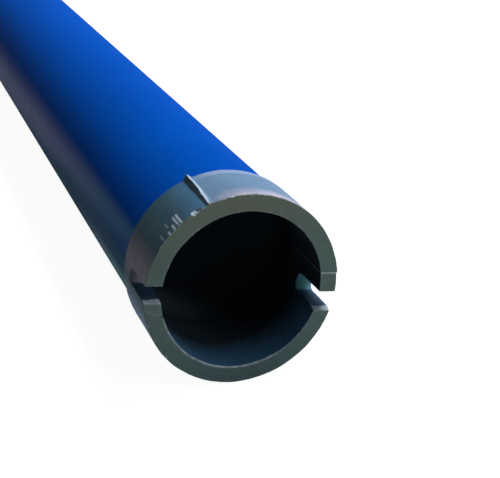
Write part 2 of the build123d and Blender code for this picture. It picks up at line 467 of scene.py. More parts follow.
def stretch(tree, value, low, high, start=0.0, end=1.0):
    """The start where the value is low or beyond it, the end where it is high, and even in
    between."""
    limits = {"Value": value, "From Min": low, "From Max": high, "To Min": start, "To Max": end}
    return add_node(tree, "ShaderNodeMapRange", limits).outputs["Result"]


def blend_colours(tree, mask, first, second, mode="MIX"):
    """A colour mix: first where the mask is 0 and second where it is 1."""
    inputs = {0: mask, 6: first, 7: second}
    return add_node(tree, "ShaderNodeMix", inputs, data_type="RGBA", blend_type=mode).outputs[2]


def noise(tree, vector, scale, detail, roughness=0.5):
    """Noise between 0 and 1, by a place and a scale."""
    inputs = {"Vector": vector, "Scale": scale, "Detail": detail, "Roughness": roughness}
    return add_node(tree, "ShaderNodeTexNoise", inputs).outputs["Fac"]


def shared_group(name, scale, amount, outputs, build):
    """A shader group that is made once. Its inputs are a vector, a scale and in some an amount,
    and build(group, vector, scale, amount) works out its outputs in their order."""
    if name in bpy.data.node_groups:
        return bpy.data.node_groups[name]
    group = bpy.data.node_groups.new(name, "ShaderNodeTree")
    sockets = group.interface
    sockets.new_socket(name="Vector", in_out="INPUT", socket_type="NodeSocketVector")
    for socket, default in (("Scale", scale), ("Amount", amount)):
        if default is not None:
            made = sockets.new_socket(name=socket, in_out="INPUT", socket_type="NodeSocketFloat")
            made.default_value = default
    for socket in outputs:
        sockets.new_socket(name=socket, in_out="OUTPUT", socket_type="NodeSocketFloat")
    start = group.nodes.new("NodeGroupInput")
    end = group.nodes.new("NodeGroupOutput")
    for socket, value in zip(outputs, build(group, *list(start.outputs)[:-1])):
        group.links.new(value, end.inputs[socket])
    return group


def pressed_grain():
    """Grain of a pressed or blasted surface: fine and coarse noise as a height, and their
    mixture as a tone for colours."""

    def build(group, vector, scale):
        fine = noise(group, vector, scale, 5.0, 0.65)
        broad = noise(group, vector, times(group, scale, 0.13), 3.0)
        return fine, maths(group, "MULTIPLY_ADD", fine, 0.4, times(group, broad, 0.6))

    return shared_group("Pressed grain", 400.0, None, ("Height", "Tone"), build)


def bare_specks():
    """Small patches where a coat or skin is gone: noise above a threshold, which the Amount
    lowers, with a narrow soft edge."""

    def build(group, vector, scale, amount):
        raised = maths(group, "MULTIPLY_ADD", amount, 0.5, noise(group, vector, scale, 4.0, 0.6))
        return (stretch(group, raised, 0.66, 0.76),)

    return shared_group("Bare specks", 900.0, 0.2, ("Mask",), build)


def lathe_marks():
    """Fine feed marks of a lathe: noise stretched round the axis, so that it changes mostly
    along it, as a height."""

    def build(group, vector, scale):
        inputs = {0: vector, 1: (1.0, 60.0, 1.0)}
        along = add_node(group, "ShaderNodeVectorMath", inputs, operation="MULTIPLY").outputs[0]
        return (noise(group, along, scale, 2.0),)

    return shared_group("Lathe marks", 60.0, None, ("Height",), build)


def place_group(tree, group, **inputs):
    """The outputs of a shader group placed in a material, with its own values."""
    return add_node(tree, "ShaderNodeGroup", inputs, node_tree=group).outputs


def new_material(name, metallic, roughness, specular=0.5):
    """A material with its Principled BSDF set: (material, tree, shader, object coordinates)."""
    material = bpy.data.materials.new(name)
    material.use_nodes = True
    tree = material.node_tree
    shader = tree.nodes["Principled BSDF"]
    plain = {"Metallic": metallic, "Roughness": roughness, "Specular IOR Level": specular}
    set_inputs(tree, shader, plain)
    coordinates = add_node(tree, "ShaderNodeTexCoord").outputs["Object"]
    return material, tree, shader, coordinates


def attribute(tree, name):
    """A value stored on the mesh's points."""
    return add_node(tree, "ShaderNodeAttribute", attribute_name=name).outputs["Fac"]


def shaded(colour_value, amount=1.0):
    """A plain colour for a socket, made darker or lighter by the amount."""
    return (*(amount * c for c in colour_value), 1.0)


def mottled(tree, skin, tone, low, high):
    """A colour times low where the tone is 0 and times high where it is 1."""
    factor = blend_colours(tree, tone, shaded(WHITE, low), shaded(WHITE, high))
    return blend_colours(tree, 1.0, skin, factor, "MULTIPLY")


def coated(tree, skin, *coats):
    """A skin under its coats, from the lowest to the topmost. A coat is (mask, colour)."""
    for mask, tint in coats:
        skin = blend_colours(tree, mask, skin, tint)
    return skin


def by_depth(tree, coordinates, low, high):
    """0 at one depth behind the cutting face, 1 at another, and even in between."""
    along = add_node(tree, "ShaderNodeSeparateXYZ", {0: coordinates}).outputs["Y"]
    return stretch(tree, along, FACE_Y + low, FACE_Y + high)


def bump(tree, height, distance, strength):
    """A normal that follows a height."""
    inputs = {"Height": height, "Distance": distance, "Strength": strength}
    return add_node(tree, "ShaderNodeBump", inputs).outputs["Normal"]


# ---- Materials ----


def ramp_over(tree, value, stops):
    """Colours along a value from 0 to 1, from a list of (place, colour)."""
    node = add_node(tree, "ShaderNodeValToRGB", {"Fac": value})
    ramp = node.color_ramp
    for element, (at, tint) in zip(ramp.elements, (stops[0], stops[-1])):
        element.position, element.color = at, tint
    for at, tint in stops[1:-1]:
        ramp.elements.new(at).color = tint
    return node.outputs["Color"]


def side_shade_and_reflection(tree, around, crown):
    """Painted shade and painted reflection round the crown, by the angle in degrees: unshaded over the
    lit top, shade over the left side with a band of violet reflection, a pale reflection low on the
    left, half shade underneath, then unshaded.
    """
    unshaded, half_shade, full_shade, violet_light = map(
        shaded, (crown.side_colour, crown.smoky_colour, crown.sooty_colour, crown.tinted_colour)
    )
    painted_light = shaded(crown.side_colour, 1.35)
    stops = [(0, unshaded), (114, unshaded), (118, half_shade), (136, full_shade), (156, full_shade), (168, violet_light),
             (175, violet_light), (183, full_shade), (189, full_shade), (193, half_shade), (196, unshaded), (200, painted_light),
             (208, unshaded), (240, half_shade), (290, unshaded)]
    return ramp_over(tree, around, [(degrees / 360, tint) for degrees, tint in stops])


def side_skin(tree, crown, coordinates, patches, around, grime):
    """Pressed sides: painted shade and reflection round the crown with an uneven edge, painted
    highlights along the front and back rims of the upper side, painted shade on the flash's long flank,
    and blotches all over."""
    uneven = stretch(tree, patches, 0.0, 1.0, -0.02, 0.02)
    tints = side_shade_and_reflection(tree, maths(tree, "ADD", around, uneven), crown)
    # Painted highlights only on the upper side, which faces the light.
    on_top = times(tree, stretch(tree, around, 0.32, 0.29), stretch(tree, around, 0.04, 0.14))
    front_rim = by_depth(tree, coordinates, 4.6 * MM, 0.9 * MM)
    rear_rim = by_depth(tree, coordinates, 13.2 * MM, 14.0 * MM)
    side = coated(
        tree,
        tints,
        (times(tree, on_top, front_rim, stretch(tree, patches, 0.2, 0.6)), shaded(crown.front_rim)),
        (times(tree, on_top, rear_rim, 0.6), shaded(crown.rear_rim)),
        (times(tree, grime, 0.85), shaded(crown.grime_colour)),
    )
    return mottled(tree, side, patches, 0.76, 1.28)


def bore_skin(tree, crown, coordinates, around):
    """Painted shade in the bore, with painted light just behind the lower part of the cutting face."""
    near_face = by_depth(tree, coordinates, 11.5 * MM, 3 * MM)
    below = times(tree, stretch(tree, around, 0.5, 0.53), stretch(tree, around, 1.0, 0.93))
    painted_light = times(tree, near_face, below)
    return blend_colours(tree, painted_light, shaded(crown.bore_colour), shaded(crown.lip_colour))


def slot_skin(tree, crown, coordinates, across):
    """Painted shade in the slots, with painted light on their round ends: violet on the left and
    blue-green on the right.
    """
    end_start = crown.slot_depth - crown.left_slot_width / 2
    at_end = by_depth(tree, coordinates, end_start, end_start + 0.8 * MM)
    on_left = stretch(tree, across, MM, -MM)
    end = blend_colours(tree, on_left, shaded(crown.slot_end_colour), shaded(crown.tinted_colour))
    return blend_colours(tree, at_end, shaded(crown.slot_colour), end)


def face_skin(tree, crown, up):
    """The cutting face's colours from its lowest to its highest point: painted shade low down, and an
    olive cast with painted light high up.
    """
    height = stretch(tree, up, AXIS_Z - CROWN_RADIUS, AXIS_Z + CROWN_RADIUS)
    tints = (crown.lower_face, crown.face_colour, crown.face_colour, crown.upper_face)
    return ramp_over(tree, height, list(zip((0.1, 0.45, 0.72, 0.95), map(shaded, tints))))


def crown_material(crown):
    """Sintered crown metal: pressed sides with painted shade and reflection round them, a ground olive
    face with painted shade low down, painted shade in the slots and bore with painted light near their
    ends and lip, and bright colour that is bared metal on chips and punch marks and painted highlight
    on the flash's crest, the worn lips and the bore's lower edge."""
    material, tree, shader, coordinates = new_material("Sintered crown", 0.0, 0.5, 0.02)
    grain = place_group(tree, pressed_grain(), Vector=coordinates, Scale=900.0)
    patches = place_group(tree, pressed_grain(), Vector=coordinates, Scale=260.0)["Tone"]
    names = ("front", "bore", "slot", "bare", "grime", "edge", "around")
    front, bore, slot, bare, grime, edge, around = (attribute(tree, n) for n in names)
    axes = add_node(tree, "ShaderNodeSeparateXYZ", {0: coordinates}).outputs
    skin = coated(
        tree,
        side_skin(tree, crown, coordinates, patches, around, grime),
        (bore, bore_skin(tree, crown, coordinates, around)),
        (slot, slot_skin(tree, crown, coordinates, axes["X"])),
        (front, face_skin(tree, crown, axes["Z"])),
    )
    near_edges = times(tree, edge, 0.24)
    specks = place_group(tree, bare_specks(), Vector=coordinates, Scale=1400.0, Amount=near_edges)
    bright = shaded(crown.bright_colour)
    skin = coated(
        tree,
        mottled(tree, skin, grain["Tone"], 0.72, 1.28),
        (times(tree, specks["Mask"], 0.6), bright),
        (bare, bright),
    )
    normal = bump(tree, grain["Height"], 0.12 * MM, 0.5)
    set_inputs(tree, shader, {"Base Color": skin, "Normal": normal})
    return material


def braze_material(braze):
    """Silver braze: bright and metallic where the darkening mask is 0, and darker and duller where it
    is 1, paler on the cutting face.
    """
    material, tree, shader, coordinates = new_material("Silver braze", 0.9, 0.4, 0.1)
    grain = place_group(tree, pressed_grain(), Vector=coordinates, Scale=1200.0)
    tarnish = attribute(tree, "tarnish")
    bright = mottled(tree, shaded(braze.metal_colour), grain["Tone"], 0.7, 1.15)
    on_face = by_depth(tree, coordinates, 0.5 * MM, 0.1 * MM)
    dull = blend_colours(tree, on_face, shaded(braze.tarnish_colour), shaded(braze.ground_colour))
    inputs = {
        "Base Color": blend_colours(tree, tarnish, bright, dull),
        "Metallic": stretch(tree, tarnish, 0.0, 1.0, 0.9, 0.05),
        "Normal": bump(tree, grain["Height"], 0.08 * MM, 0.4),
    }
    set_inputs(tree, shader, inputs)
    return material


def enamel_material(tube, name):
    """Sprayed blue enamel with a faint orange peel: (material, tree, shader, object
    coordinates, the enamel's colour)."""
    material, tree, shader, coordinates = new_material(name, 0.0, 0.45, 0.0)
    grain = place_group(tree, pressed_grain(), Vector=coordinates, Scale=260.0)
    enamel = mottled(tree, shaded(tube.enamel), grain["Tone"], 0.86, 1.12)
    normal = bump(tree, grain["Height"], 0.06 * MM, 0.25)
    coat = {"Coat Weight": 0.02, "Coat Roughness": 0.2, "Coat IOR": 1.3}
    set_inputs(tree, shader, {"Base Color": enamel, "Normal": normal, **coat})
    return material, tree, shader, coordinates, enamel


def tube_material(tube):
    """Enamel with a painted reflection along one side of the tube, a teal film under a pale streak, and
    bare steel inside, with painted shade near the crown and lighter further in. The mesh's masks say
    where each lies."""
    material, tree, shader, coordinates, enamel = enamel_material(tube, "Painted tube")
    clouds = place_group(tree, pressed_grain(), Vector=coordinates, Scale=90.0)["Tone"]
    painted, dusty, filmed = (attribute(tree, n) for n in ("painted", "dusty", "filmed"))
    away = by_depth(tree, coordinates, 25 * MM, 90 * MM)
    dust = blend_colours(tree, away, shaded(tube.dust_near), shaded(tube.dust))
    outside = coated(
        tree,
        enamel,
        (times(tree, filmed, 0.9), shaded(tube.film)),
        (times(tree, dusty, stretch(tree, clouds, -1.0, 0.6)), dust),
    )
    # Painted shade inside the tube near the crown, lighter bare steel further in.
    deep = by_depth(tree, coordinates, TUBE_START + 8 * MM, TUBE_START + 50 * MM)
    inside = blend_colours(tree, deep, shaded(tube.bore_grime), shaded(tube.bore_steel))
    skin = blend_colours(tree, painted, inside, outside)
    roughness = stretch(tree, painted, 0.0, 1.0, 0.6, 0.45)
    set_inputs(tree, shader, {"Base Color": skin, "Roughness": roughness})
    return material


def coupling_material(coupling):
    """Turned and milled steel with feed marks."""
    material, tree, shader, coordinates = new_material("Turned steel", 0.9, 0.5)
    marks = place_group(tree, lathe_marks(), Vector=coordinates, Scale=60.0)["Height"]
    skin = mottled(tree, shaded(coupling.steel), marks, 0.8, 1.15)
    set_inputs(tree, shader, {"Base Color": skin, "Normal": bump(tree, marks, 0.06 * MM, 0.35)})
    return material


# ---- Crown ----

WINDOW = radians(14)  # arc beside a slot over which columns lean towards it
OUT_OF_REACH = -1.0  # a distance that never counts


def joint_lines(crown, side):
    """The crown's joints on the right and on the left, each as its outer and inner point, moved
    up or down by half the braze's thickness, or by none where the side is 0."""
    shift = side * crown.joint_film / 2
    height = crown.right_joint_height
    right = (CROWN_RADIUS, height), (CROWN_RADIUS - crown.wall, height)
    left = crown.left_joint_outer, crown.left_joint_inner
    return [[(x, y + shift) for x, y in line] for line in (right, left)]


def upper_half(crown):
    """The upper half ring, in its own frame: x to the right, y up. A chip is degrees round the
    crown, 1 at the rim or 0 at the bore, then its size, bite and depth in mm."""
    start, end = joint_lines(crown, 1)
    return SimpleNamespace(
        node="crown_half_upper",
        turn=crown.turn,
        radius=CROWN_RADIUS + crown.mismatch,
        start=start,
        end=end,
        slot_height=crown.left_slot_height,
        slot_width=crown.left_slot_width,
        lip_shine=1.0,
        flash=True,
        flare=0.18 * MM,
        start_recess=0.12 * MM,
        floor_side=-1,
        seed=3,
        chips=[
            (126.0, 1, 1.6, 0.75, -0.1), (123.3, 1, 0.7, 0.24, 0.0), (107.8, 1, 0.8, 0.3, -0.1),
            (103.6, 1, 1.1, 0.34, -0.1), (98.3, 1, 1.0, 0.24, -0.1), (88.0, 1, 0.6, 0.12, 0.0),
            (70.0, 1, 0.8, 0.14, 0.0), (138.0, 1, 0.6, 0.14, 0.0), (147.0, 1, 0.6, 0.12, 0.0),
            (132.0, 0, 0.5, 0.16, 0.0), (146.0, 0, 0.5, 0.12, 0.0), (60.0, 0, 0.6, 0.14, 0.0),
            (15.0, 1, 0.5, 0.14, 0.0),
        ],
    )


def lower_half(crown):
    """The lower half ring, in a frame turned half way round, where it looks like the upper."""
    end, start = [[(-x, -y) for x, y in line] for line in joint_lines(crown, -1)]
    return SimpleNamespace(
        node="crown_half_lower",
        turn=crown.turn + pi,
        radius=CROWN_RADIUS,
        start=start,
        end=end,
        slot_height=-crown.right_slot_height,
        slot_width=crown.right_slot_width,
        lip_shine=0.65,
        flash=False,
        flare=0.0,
        start_recess=0.1 * MM,
        floor_side=1,
        seed=11,
        chips=[
            (139.0, 0, 0.7, 0.25, 0.0), (131.0, 0, 0.6, 0.2, 0.0), (122.0, 0, 0.5, 0.16, 0.0),
            (150.0, 0, 0.5, 0.18, 0.0), (95.0, 0, 0.5, 0.12, 0.0), (60.0, 1, 0.7, 0.14, 0.0),
            (100.0, 1, 0.7, 0.12, 0.0), (148.0, 1, 0.8, 0.18, 0.0), (35.0, 0, 0.5, 0.12, 0.0),
            (181.0, 0, 0.5, 0.15, 0.0), (189.0, 1, 0.5, 0.14, 0.0),
        ],
    )


def line_angle(line, radius):
    """Angle at which a straight line, given by its outer and inner points, meets a circle about
    the axis: at inner + t direction, where t makes its length the radius."""
    outer, inner = np.array(line)
    direction = (outer - inner) / np.hypot(*(outer - inner))
    along = inner @ direction
    t = np.sqrt(along**2 - inner @ inner + radius**2) - along
    return np.arctan2(inner[1] + t * direction[1], inner[0] + t * direction[0]) % FULL_TURN


def level_angle(height, radius):
    """Angle, on the left, at which a circle about the axis has that height."""
    return pi - np.arcsin(height / radius)


def half_ring_columns(half, crown):
    """The lines that run from front to back along a half ring: where each starts on the front
    edge, which goes into the slot and out again, and where it ends on the back edge. Returns
    front(radius), front_depth and back(radius), with an entry for each line."""
    middle = CROWN_RADIUS - crown.wall / 2
    slot_radius = half.slot_width / 2
    slot_centre = crown.slot_depth - slot_radius
    level_a, level_b = half.slot_height + slot_radius, half.slot_height - slot_radius
    start, end = line_angle(half.start, middle), line_angle(half.end, middle)
    wall_a, wall_b = level_angle(level_a, middle), level_angle(level_b, middle)

    flash_start, flash_end, chips_end = np.radians([112, 121, 150])
    first = spread(
        [start, start + radians(1.5), flash_start, flash_end, chips_end, wall_a - radians(1.2), wall_a],
        np.radians([0.2, 0.85, 0.22, 0.45, 0.85, 0.2]),
    )
    last = spread([wall_b, wall_b + radians(1), end - radians(1), end], np.radians([0.2, 0.6, 0.2]))
    down = spread([0, 0.5 * MM, slot_centre], [0.08 * MM, 0.2 * MM])
    round_end = np.linspace(0, pi, 16)
    round_level = half.slot_height + slot_radius * np.cos(round_end)
    straight = len(down) - 1
    level = np.concatenate([np.full(straight, level_a), round_level, np.full(straight, level_b)])
    round_depth = slot_centre + slot_radius * np.sin(round_end)
    slot_depths = np.concatenate([down[:-1], round_depth, down[-2::-1]])
    front_depth = np.concatenate([np.zeros(len(first) - 1), slot_depths, np.zeros(len(last) - 1)])

    first_share = ((first[:-1] - start) / (wall_a - start))[:, None]
    last_share = ((last[1:] - wall_b) / (end - wall_b))[:, None]

    def front(radius):
        """Angles (columns, radii) of the front edge."""
        radius = np.atleast_1d(radius)
        at_a, at_b = level_angle(level_a, radius), level_angle(level_b, radius)
        arc_a = between(line_angle(half.start, radius), at_a, first_share)
        arc_b = between(at_b, line_angle(half.end, radius), last_share)
        return np.concatenate([arc_a, level_angle(level[:, None], radius), arc_b])

    edge = np.stack([middle * front(middle)[:, 0], front_depth], axis=-1)
    run = np.concatenate([[0], np.cumsum(np.hypot(*np.diff(edge, axis=0).T))])
    bottom_a = len(first) - 1 + straight
    bottom_b = bottom_a + len(round_end) - 1
    lean = int(np.searchsorted(first, wall_a - WINDOW))
    stations = run[[0, lean, bottom_a, (bottom_a + bottom_b) // 2, bottom_b, -1]]
    angles = [start, first[lean], wall_a, level_angle(half.slot_height, middle), wall_b, end]
    back_share = ((np.interp(run, stations, angles) - start) / (end - start))[:, None]

    def back(radius):
        """Angles (columns, radii) of the back edge."""
        radius = np.atleast_1d(radius)
        return between(line_angle(half.start, radius), line_angle(half.end, radius), back_share)

    return front, front_depth, back


def half_ring_block(half, crown):
    """A half ring before it is settled, as points and quads. A point is P(column, depth share,
    radius): its angle and depth are (1 - w) times those of the front edge plus w times those
    of the back edge."""
    front, front_depth, back = half_ring_columns(half, crown)
    near = 0.5 * MM
    rows = spread(
        [0, near, 6.5 * MM, crown.depth - near, crown.depth],
        [0.07 * MM, 0.18 * MM, 0.36 * MM, 0.1 * MM],
    )
    bore = half.radius - crown.wall
    radii = spread(
        [bore, bore + near, half.radius - near, half.radius], [0.07 * MM, 0.28 * MM, 0.07 * MM]
    )

    def block(column, depth_share, radius):
        w = depth_share[:, None]
        turn = between(front(radius)[column][:, None], back(radius)[column][:, None], w)
        depth = between(front_depth[column, None, None], crown.depth, w)
        turn, depth, radius = np.broadcast_arrays(turn, depth, radius)
        if half.flash:
            outermost = np.clip(1 - (half.radius - radius) / near, 0, 1)
            radius = radius + outermost * flash_ridge(turn, depth, crown)
        return np.stack([radius * np.cos(turn), radius * np.sin(turn), depth], axis=-1)

    return six_sides(block, np.arange(len(front_depth)), rows / crown.depth, radii)


def flash_crest(depth, crown):
    """Angle of the ridge's crest, a line from front to back with a slow and a quick waver, and
    the share of the way back."""
    back = np.clip(depth / crown.depth, 0, 1.05)
    line = crown.flash_front_crest + (crown.flash_rear_crest - crown.flash_front_crest) * back
    waver = radians(0.24) * np.sin(depth / (1.9 * MM)) + radians(0.13) * np.sin(depth / (0.7 * MM))
    return line + waver, back


def flash_ridge(turn, depth, crown):
    """Height of the mould flash: a tent over the angle between its feet, whose crest rises
    evenly from front to back and wavers a little."""
    crest, back = flash_crest(depth, crown)
    left = (crown.flash_left_foot - turn) / (crown.flash_left_foot - crest)
    right = (turn - crown.flash_right_foot) / (crest - crown.flash_right_foot)
    tent = np.clip(np.minimum(left, right), 0, 1)
    height = crown.flash_front + (crown.flash_rear - crown.flash_front) * back
    return height * tent * (1 + 0.08 * np.sin(depth / (1.1 * MM) - 1.5))


# Plain punched strokes: degrees round the crown, from and to (mm behind the face), strength.
PUNCH_STROKES = np.array([
    (134.7, 0.5, 4.6, 1.0), (136.9, 1.0, 4.6, 0.8), (139.6, 0.4, 2.2, 0.9),
    (142.4, 3.0, 5.2, 0.4), (143.5, 0.3, 1.3, 0.9), (148.4, 0.9, 3.1, 0.5),
])
PUNCH_HALF_WIDTH = 0.4 * MM
PUNCH_BITE = 0.14 * MM


def punch_marks(turn, depth, radius):
    """Depth of a row of plain short strokes: a V across each stroke, held along its length."""
    degrees_round, start, end, strength = PUNCH_STROKES.T
    across = (turn[..., None] - np.radians(degrees_round)) * radius[..., None]
    along = depth[..., None]
    past = np.maximum(np.maximum(start * MM - along, along - end * MM), 0)
    stroke = np.clip(1 - np.hypot(across, past) / PUNCH_HALF_WIDTH, 0, 1)
    return PUNCH_BITE * (stroke * strength).max(axis=-1)


def half_ring_walls(points, half, crown):
    """Signed distances of points to the walls of a half ring, below zero inside: outer wall,
    bore, front, back, slot and the worn lip of the slot's floor, then the two joint faces. The
    slot is half its width less the distance to a line along it."""
    x, y, depth = points.T
    radius, turn = np.hypot(x, y), np.arctan2(y, x) % FULL_TURN
    wave = value_noise(points, 2.6 * MM, half.seed) + 0.45 * value_noise(points, 0.8 * MM, half.seed)
    wave = crown.roughness * (wave - 1.45)

    near_start = eased((radians(24) - turn) / radians(11))
    rim = half.radius + wave + half.flare * near_start
    overhang = 0
    if half.flash:
        rim = rim + flash_ridge(turn, depth, crown) - punch_marks(turn, depth, radius)
        behind = (turn < crown.flash_left_foot) & (turn > crown.flash_right_foot)
        behind = behind & (radius > half.radius - 0.2 * MM)
        overhang = crown.flash_overhang * behind
    slot_radius = half.slot_width / 2
    beyond = np.maximum(depth - (crown.slot_depth - slot_radius), 0)
    slot = slot_radius - np.hypot(y - half.slot_height, beyond)
    floor = half.slot_height + half.floor_side * slot_radius
    under = (y - floor) * half.floor_side
    drop = crown.lip_drop * (1 + 0.3 * value_noise(points, 1.3 * MM, half.seed + 2))
    lip = (drop - under) * crown.lip_reach - depth * drop
    lip = lip / np.hypot(drop, crown.lip_reach)
    walls = [
        radius - rim,
        half.radius - crown.wall - radius - wave,
        half.start_recess * near_start - depth - 0.4 * wave,
        depth - crown.depth - overhang,
        np.where(x < 0, slot + 0.5 * wave, OUT_OF_REACH),
        np.where((x < 0) & (under > -slot_radius), lip, OUT_OF_REACH),
    ]
    joints = []
    for line, side in ((half.start, x > 0), (half.end, x < 0)):
        outer, inner = np.array(line)
        along = (outer - inner) / np.hypot(*(outer - inner))
        normal = np.array([-along[1], along[0]]) * np.sign(along[0])
        above = (x - inner[0]) * normal[0] + (y - inner[1]) * normal[1]
        joints.append(np.where(side, -above, OUT_OF_REACH))
    return walls, joints


def rounded_inside(walls, rounding):
    """One signed distance for the space inside all walls, with rounded edges: the length of the
    parts of (wall + rounding) above zero, less the rounding."""
    stack = np.stack(walls) + rounding
    inside = np.minimum(stack.max(axis=0), 0)
    return inside + np.sqrt((np.maximum(stack, 0) ** 2).sum(axis=0)) - rounding


def half_ring_distance(points, half, crown):
    """Signed distance to the finished half ring: its rounded walls less the chips, each a ball
    with a noisy radius whose centre lies outside the edge."""
    walls, joints = half_ring_walls(points, half, crown)
    ragged = value_noise(points, 1.1 * MM, half.seed + 5)
    distance = rounded_inside(walls, crown.edge * (1 + 0.45 * ragged))
    distance = rounded_inside([distance, *joints], 0.07 * MM)
    crumble = value_noise(points, 0.45 * MM, half.seed + 9)
    for degrees, at_rim, size, bite, depth in half.chips:
        away = (size - bite) * MM
        reach = half.radius + away if at_rim else half.radius - crown.wall - away
        centre = np.array([*turned_about(reach, 0, radians(degrees)), depth * MM])
        ball = size * MM * (1 + 0.16 * crumble) - np.linalg.norm(points - centre, axis=1)
        distance = np.maximum(distance, ball)
    return distance


def settled(points, distance, rounds=5, probe=0.006 * MM, stride=0.25 * MM):
    """Moves points onto the surface where the distance is zero: each round takes away distance
    times gradient over the gradient's square, with the gradient from small probes."""
    for _ in range(rounds):
        here = distance(points)
        slopes = [(distance(points + probe * axis) - here) / probe for axis in np.eye(3)]
        gradient = np.stack(slopes, axis=-1)
        steep = np.maximum((gradient**2).sum(axis=-1), 0.2)
        step = np.clip(here / steep, -stride, stride)
        points = points - gradient * step[:, None]
    return points


def half_ring_masks(points, half, crown):
    """Where the finishes of a half ring lie, from 0 to 1 at each point: on the cutting face, in the
    bore, in the slot, on bared metal and painted highlights, under painted shade on the flash's long
    flank, near an edge, and how far round."""
    walls, joints = half_ring_walls(points, half, crown)
    outer, bore, front = walls[:3]
    slot, lip = walls[4:]
    x, y, depth = points.T
    radius, turn = np.hypot(x, y), np.arctan2(y, x) % FULL_TURN
    around = (turn + half.turn - crown.turn) % FULL_TURN
    second_nearest = np.sort(np.stack([outer, bore, front, slot]), axis=0)[-2]
    sunk = -np.stack(walls + joints).max(axis=0)
    patchy = eased(0.5 + value_noise(points, 0.9 * MM, half.seed + 1))
    bore_edge = eased(1 + (np.minimum(front, bore) + 0.05 * MM) / (0.45 * MM))
    underneath = arc(around, 196, 208, 292, 312)
    # Bright colour: bared metal in chips, and painted highlights on the slots' worn lips and along the
    # bore's lower edge.
    bare = 0.9 * eased(sunk / (0.07 * MM) - 0.9)
    on_lip = eased(1 + lip / (0.12 * MM))
    bare = np.maximum(bare, half.lip_shine * (0.7 + 0.3 * patchy) * on_lip)
    bare = np.maximum(bare, bore_edge * (0.1 + underneath * (0.3 + 0.5 * patchy)))
    grime = np.zeros(len(points))
    if half.flash:
        ridge = flash_ridge(turn, depth, crown) / (crown.flash_rear - 0.2 * MM)
        crest = flash_crest(depth, crown)[0]
        # Painted highlight along the flash's crest, which faces the light.
        standing = eased(ridge * 2.5 - 0.2) * (radius > half.radius - 0.1 * MM)
        top = eased((turn - crest + radians(2.2)) / radians(1.2)) * (turn < crest + radians(0.12))
        crest_highlight = 0.65 - 0.3 * depth / crown.depth + 0.3 * patchy
        bare = np.maximum(bare, standing * top * crest_highlight)
        # Painted shade on the flash's long flank.
        flank = (turn > crest + radians(0.3)) & (turn < crown.flash_left_foot)
        grime = np.maximum(grime, eased(ridge * 3.5 + 0.3) * flank)
        outside = eased((radius - half.radius) / (0.1 * MM) + 3)
        punched = eased(punch_marks(turn, depth, radius) / (0.12 * MM)) * outside
        bare = np.maximum(bare, 0.9 * punched)

    def on_wall(wall, *others, margin=0.0):
        """1 where a wall is nearer than the others, with a narrow soft edge."""
        return eased(1 + (wall - np.stack(others).max(axis=0) + margin) / (0.15 * MM))

    in_slot = on_wall(slot, outer, bore, front, lip, margin=0.1 * MM)
    # The slot's painted shade grows from the rim inwards.
    from_rim = eased(-outer / (0.9 * MM))
    return {
        "front": on_wall(front, outer, bore, lip),
        "bore": on_wall(bore, outer, front),
        "slot": np.maximum(in_slot * (0.75 + 0.25 * from_rim), on_lip),
        "bare": bare,
        "grime": grime,
        "edge": eased(1 + (second_nearest + 0.1 * MM) / (0.3 * MM)),
        "around": around / FULL_TURN,
    }


def half_ring(half, crown, material):
    """One half of the crown, settled on its rounded and chipped surface and turned to its
    place on the bit."""
    points, faces = half_ring_block(half, crown)
    points = settled(points, lambda p: half_ring_distance(p, half, crown))
    masks = half_ring_masks(points, half, crown)
    x, y, depth = points.T
    points = on_bit(*turned_about(x, y, half.turn), depth)
    piece = skin_object(half.node + "_sintered", half.node, points, faces, material, masks)


class CORE_BIT_OT_crown(Operator):
    """Build the two half rings of the slotted crown"""

    bl_idname = "core_bit.crown"
    bl_label = "Build Crown"

    def execute(self, context):
        crown = context.scene.core_bit.crown
        material = crown_material(crown)
        for half in (upper_half(crown), lower_half(crown)):
            half_ring(half, crown, material)
        return {"FINISHED"}


# ---- Silver braze ----


def braze_ring(crown, braze, tube, columns=540):
    """Braze behind the crown: a closed profile of an outer and an inner hollow fillet and the
    film between them, whose toes wander round the ring. A fillet is a bow from the crown to
    the tube, or back."""
    turn = np.linspace(0, FULL_TURN, columns, endpoint=False)
    wander = braze.wander * ring_noise(turn, (3, 7, 16, 31, 53), 1.0)
    outside, inside = TUBE_RADIUS, TUBE_RADIUS - tube.wall
    sunk = 0.02 * MM

    def carried(depth, radius):
        """A point of the profile carried round: (depth and radius, columns, 1)."""
        return np.stack([depth + 0 * turn, radius + 0 * turn])[..., None]

    def straight(start, end, inner_points):
        return between(start, end, np.linspace(0, 1, inner_points + 2)[1:-1])

    on_crown = carried(crown.depth, outside + (braze.outer_rise + 0.3 * wander))
    toe = carried(TUBE_START + braze.outer_leg + wander, outside - sunk)
    end_outside = carried(TUBE_START, outside - sunk)
    end_inside = carried(TUBE_START, inside + sunk)
    inner_toe = carried(TUBE_START + braze.inner_leg - 0.6 * wander, inside + sunk)
    under_crown = carried(crown.depth, inside - braze.inner_rise)
    corner = carried(crown.depth + 0.3 * MM, outside + 0.2 * MM)
    inner_corner = carried(crown.depth + 0.25 * MM, inside - 0.15 * MM)
    sides = [
        bow(np.linspace(0, 1, 18), on_crown, corner, toe),
        straight(toe, end_outside, 2),
        straight(end_outside, end_inside, 6),
        straight(end_inside, inner_toe, 2),
        bow(np.linspace(0, 1, 14), inner_toe, inner_corner, under_crown),
        straight(under_crown, on_crown, 10),
    ]
    depth, radius = np.concatenate(sides, axis=-1)
    return turned_skin(depth, radius, turn)


